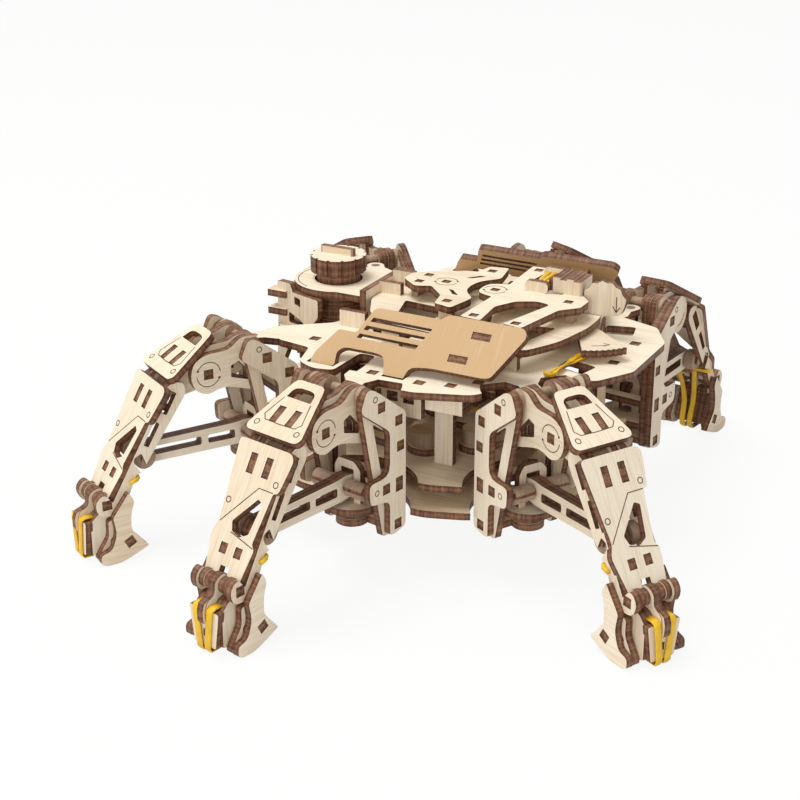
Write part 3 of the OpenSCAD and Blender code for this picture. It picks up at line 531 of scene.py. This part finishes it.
thigh_boards = [standing(s * v, 3, (1, 0, 0)) for s in (-1, 1) for v in (9, 5.7)]
thigh_boards += [sloping(28, 87.4, 30.8), crossing(26), standing(3.95), standing(-3.95)]
knee_line = [(9.2, -6.6), (18.4, -9.3), (20.6, -7.4), (20.9, 0), (20.6, 7.4), (18.4, 9.3), (9.2, 6.6)]
hub = [(arc((32.2, 71.4), 5.2, 20, 175), False, 0.34), (arc((32.2, 71.4), 5.2, 200, 355), False, 0.34)]
hub += [(arc((32.2, 71.4), 5.2, a, a + 9, 3), False, 0.9) for a in (20, 200)]
for name, leg in legs.items():
    lay("thigh_" + name, leg, thigh_boards)
    cap = leg @ slope_face(28, 87.4, 30.8)
    drawn = [(cap, [ring((22.6, 10)), ring((22.6, -10)), (knee_line, False, 0.36)])]
    scorch("thigh_lines_" + name, "thigh_" + name, drawn + [(leg @ outside(s, 10.5), hub) for s in (-1, 1)])

# ---- push rods ----
# A doubled bar with two long slots, which ties the shin to the hip.

for name, leg in legs.items():
    lay("push_rod_" + name, leg, [standing(0, 5, (1, 0, 0))])

# ---- shins ----
# Two side boards with cut-outs, and a long armour board on the steep slope, notched at its foot.

shin_boards = [sloping(52.7, 70.8, 59.8), standing(9), standing(-9)]
for s in (8, 40.7):
    sn, cs = math.sin(math.radians(59.8)), math.cos(math.radians(59.8))
    edge = (52.7 * cs - 70.8 * sn) + s
    shin_boards.append(Board((cs, 0, -sn), edge - 1.5, edge + 1.5, (0, 1, 0)))
armour_lines = [
    ring((12.7, 10.2)), ring((23.5, -8.9)),
    ([(31.9, -9.6), (15.8, 3.2), (15.8, 10.2)], False, 0.36), ([(34.3, -2.9), (37.2, 9.6)], False, 0.36)]
for name, leg in legs.items():
    lay("shin_" + name, leg, shin_boards)
    scorch("shin_lines_" + name, "shin_" + name, [(leg @ slope_face(52.7, 70.8, 59.8), armour_lines)])

# ---- feet ----
# Hooked side boards on a core of five plies, with a stem that turns on the ankle pin and a front
# pad. Two yellow bands run over the pad, under the sole and up the heel.

foot_boards = [standing(s * v, 3, (1, 0, 0)) for s in (-1, 1) for v in (12.3, 9.3)]
foot_boards += [standing(0, 14), standing(0, 3.6), crossing(86.3)]
tread = [
    (83.4, 18.7, 3.7), (86.6, 18.8, 3.7), (88.2, 18.1, 3.6), (88.5, 16.6, 3.5), (88.5, 13, 3.1),
    (88.5, 9, 2.6), (88.5, 4, 2.0), (88.5, 2.0, 1.95), (87.6, 0.8, 1.9), (85, 0.8, 1.9), (78, 0.95, 1.9),
    (72.4, 1.1, 1.9), (70.3, 2.6, 1.9), (69.7, 5.4, 1.9), (70.8, 10, 2), (71.6, 14, 2.2), (71.2, 19, 2.6),
    (69.4, 25, 3.2), (67.2, 30, 3.9), (65.9, 33, 4.6)]
loop = [
    (69.4, 32.6, 11.2), (68, 33.1, 11.5), (66.4, 33.6, 11.4), (65.4, 33.9, 10.6), (65.1, 34, 9),
    (65.2, 33.9, 5)]
finger = [
    (83.6, 20.4), (86.6, 21.4), (88.9, 20.4), (89.8, 17.6), (89.7, 13.6), (89.1, 12.4), (88.8, 12.6),
    (88.6, 16), (87, 18.4)]


def plate(bm, place, outline, v0, v1):
    """A board on edge: its outline in (u, z), from v0 to v1."""
    near, far = ([bm.verts.new(place @ Vector((u, v, z)) * 0.001) for u, z in outline] for v in (v0, v1))
    bm.faces.new(near)
    bm.faces.new(reversed(far))
    for k in range(len(outline)):
        j = (k + 1) % len(outline)
        bm.faces.new((near[k], near[j], far[j], far[k]))


for name, leg in legs.items():
    lay("foot_" + name, leg, foot_boards)
    bm = bmesh.new()
    for s in (-1, 1):
        path = [(u, s * v, z) for u, z, v in tread]
        strand(bm, leg, path, [3.3 - 0.05 * k for k in range(20)], 0.8, (0, 1, 0))
    bands = piece_of(bm, "tread_bands_" + name, "foot_" + name, yellow_rubber)
    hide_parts("foot_bands_" + name)
    bm = bmesh.new()
    path = [(u, v, z) for u, z, v in loop] + [(u, -v, z) for u, z, v in reversed(loop)]
    strand(bm, leg, path, 1.5, 1.4, (0, 0, 1))
    piece_of(bm, "ankle_loop_" + name, "shin_" + name, yellow_rubber)
    bm = bmesh.new()
    plate(bm, leg, finger, -1.5, 1.5)
    hook = piece_of(bm, "foot_finger_" + name, "foot_" + name, birch, False)
    show_plies(hook.data, 7, leg, [standing(0)], birch, 0.7, 0.4)
    bm = bmesh.new()
    for s in (-1, 1):
        for v in (2.3, 4.9):
            r = 3.2 if v < 3 else 3.7
            plate(bm, leg, arc((79.2, 25), r, 0, 348.75, 31), *sorted((s * v, s * (v + 2.5))))
    spacers = piece_of(bm, "ankle_spacers_" + name, "shin_" + name, birch, False)
    washers = [standing(s * v, 2.5) for s in (-1, 1) for v in (3.55, 6.15)]
    show_plies(spacers.data, 3, leg, washers, birch, 0.7, 0.4)
    # The pad's slit is not cut: a flat dark mark on the pad's face stands for it, painted shade of the
    # opening along with the char of its walls.
    slit = leg @ Matrix(((0, 0, 1, 87.8), (1, 0, 0, 0), (0, 1, 0, 0), (0, 0, 0, 1)))
    scorch("pad_slit_shade_" + name, "foot_" + name, [(slit, [([(0, 6.4), (0, 9.6)], False, 1.3)])])

# ---- studio ----
# A pale floor under broad soft light, seen from the left front with a long lens.


def seen_plainly(nodes):
    """One where the camera sees a surface by itself, in a gloss or through glass."""
    rays = ("Camera", "Glossy", "Transmission")
    first, *rest = [nodes.node("ShaderNodeLightPath", {}, {}, f"Is {ray} Ray") for ray in rays]
    return sum(rest, first).clamp()


def studio_floor():
    card = Finish("studio_card", Roughness=0.95, Specular_IOR_Level=0.0, Base_Color=(0.86, 0.86, 0.86, 1))
    paper = card.node("ShaderNodeEmission", {}, {"Color": (1.0, 1.0, 1.0), "Strength": 1.0})
    lit = Link(card, card.shader.outputs[0])
    shown = card.node("ShaderNodeMixShader", {}, {0: 0.9 * seen_plainly(card), 1: lit, 2: paper})
    card.surface(shown, "Material Output")
    return card.material


bm = bmesh.new()
bmesh.ops.create_circle(bm, cap_ends=True, radius=12, segments=96)
floor_mesh = bpy.data.meshes.new("studio_floor")
bm.to_mesh(floor_mesh)
bm.free()
floor_mesh.materials.append(studio_floor())
floor = bpy.data.objects.new("studio_floor", floor_mesh)
bpy.context.collection.objects.link(floor)

world = bpy.data.worlds.new("studio")
bpy.context.scene.world = world
world.use_nodes = True
sky = Nodes(world.node_tree)
soft = sky.node("ShaderNodeBackground", {}, {"Color": (1.0, 0.97, 0.925), "Strength": 0.5})
white = sky.node("ShaderNodeBackground", {}, {"Color": (1.0, 1.0, 1.0), "Strength": 1.0})
sky.surface(sky.node("ShaderNodeMixShader", {}, {0: seen_plainly(sky), 1: soft, 2: white}), "World Output")


def softbox(name, at, aim, size, power):
    lamp = bpy.data.lights.new(name, "AREA")
    lamp.shape, lamp.size, lamp.energy = "DISK", size, power
    lamp.color = (1.0, 0.985, 0.96)
    box = bpy.data.objects.new(name, lamp)
    box.location = at
    box.rotation_euler = (Vector(aim) - Vector(at)).to_track_quat("-Z", "Y").to_euler()
    bpy.context.collection.objects.link(box)


softbox("overhead", (-0.5, -0.3, 1.9), (0, 0, 0.05), 1.1, 27)
softbox("front", (0.3, -1.9, 0.7), (0, 0, 0.05), 1.0, 9)

camera = bpy.data.objects.new("camera", bpy.data.cameras.new("camera"))
camera.data.lens, camera.data.sensor_width = 76.9, 36
yaw, pitch = math.radians(28), math.radians(22.54)
look = Vector((-math.sin(yaw) * math.cos(pitch), math.cos(yaw) * math.cos(pitch), -math.sin(pitch)))
camera.location = (0.29785, -0.60494, 0.3252)
camera.rotation_euler = look.to_track_quat("-Z", "Y").to_euler()
bpy.context.collection.objects.link(camera)
bpy.context.scene.camera = camera
bpy.context.scene.view_settings.view_transform = "Standard"
